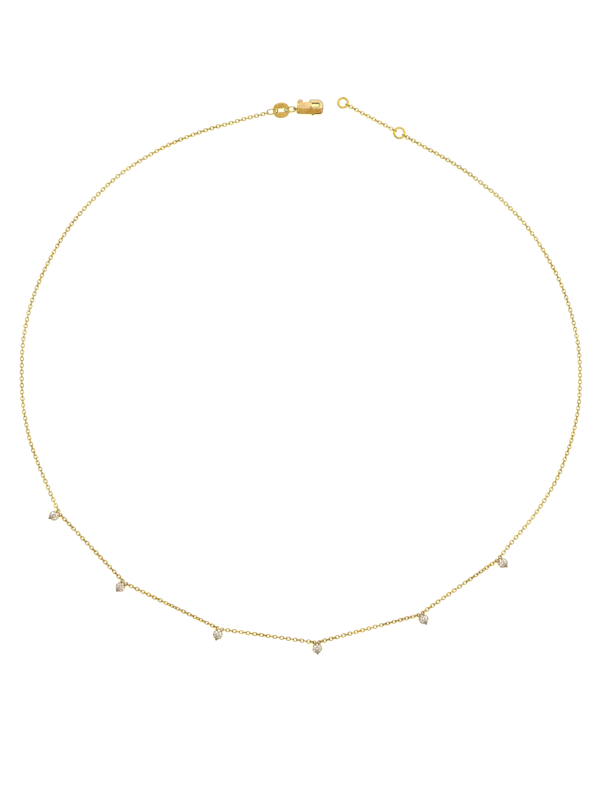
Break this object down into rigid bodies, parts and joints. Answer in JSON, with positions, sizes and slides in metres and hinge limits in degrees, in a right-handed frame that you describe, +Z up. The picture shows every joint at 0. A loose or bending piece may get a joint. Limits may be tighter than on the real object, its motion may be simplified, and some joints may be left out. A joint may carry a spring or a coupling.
{
  "type": "diamond necklace",
  "caption": "Fine gold cable chain necklace with round brilliants in three-prong settings, an oval tag and a lobster clasp, laid open on a surface.",
  "frame": {"origin": "on the surface that the necklace lies on, under the middle of its outline", "axes": "+Z up from the surface, +Y towards the clasp and the free end, -Y towards the middle stones, +X to the right"},
  "size_m": [0.1393, 0.138, 0.0021],
  "materials": {
    "gold": "polished yellow gold",
    "diamond": "faceted and polished"
  },
  "bodies": {
    "necklace": {"diamond_1": "diamond", "diamond_2": "diamond", "diamond_3": "diamond", "diamond_4": "diamond", "diamond_5": "diamond", "diamond_6": "diamond", "setting_1": "gold", "setting_2": "gold", "setting_3": "gold", "setting_4": "gold", "setting_5": "gold", "setting_6": "gold", "chain_left": "gold", "chain_1_2": "gold", "chain_2_3": "gold", "chain_3_4": "gold", "chain_4_5": "gold", "chain_5_6": "gold", "chain_right": "gold", "chain_extension": "gold", "adjusting_ring": "gold", "end_ring": "gold", "tag": "gold", "tag_link_left": "gold", "tag_link_right": "gold", "clasp_body": "gold"},
    "lever": {"clasp_lever": "gold"}
  },
  "joints": [
    {"name": "lever_hinge", "type": "hinge", "parent": "necklace", "child": "lever", "pos_m": [0.0001, 0.0662, 0.0008], "axis": [0, 0, 1], "range_deg": [0, 15], "stiffness_Nm_per_rad": 0.0035, "springref_deg": -20.05}
  ]
}
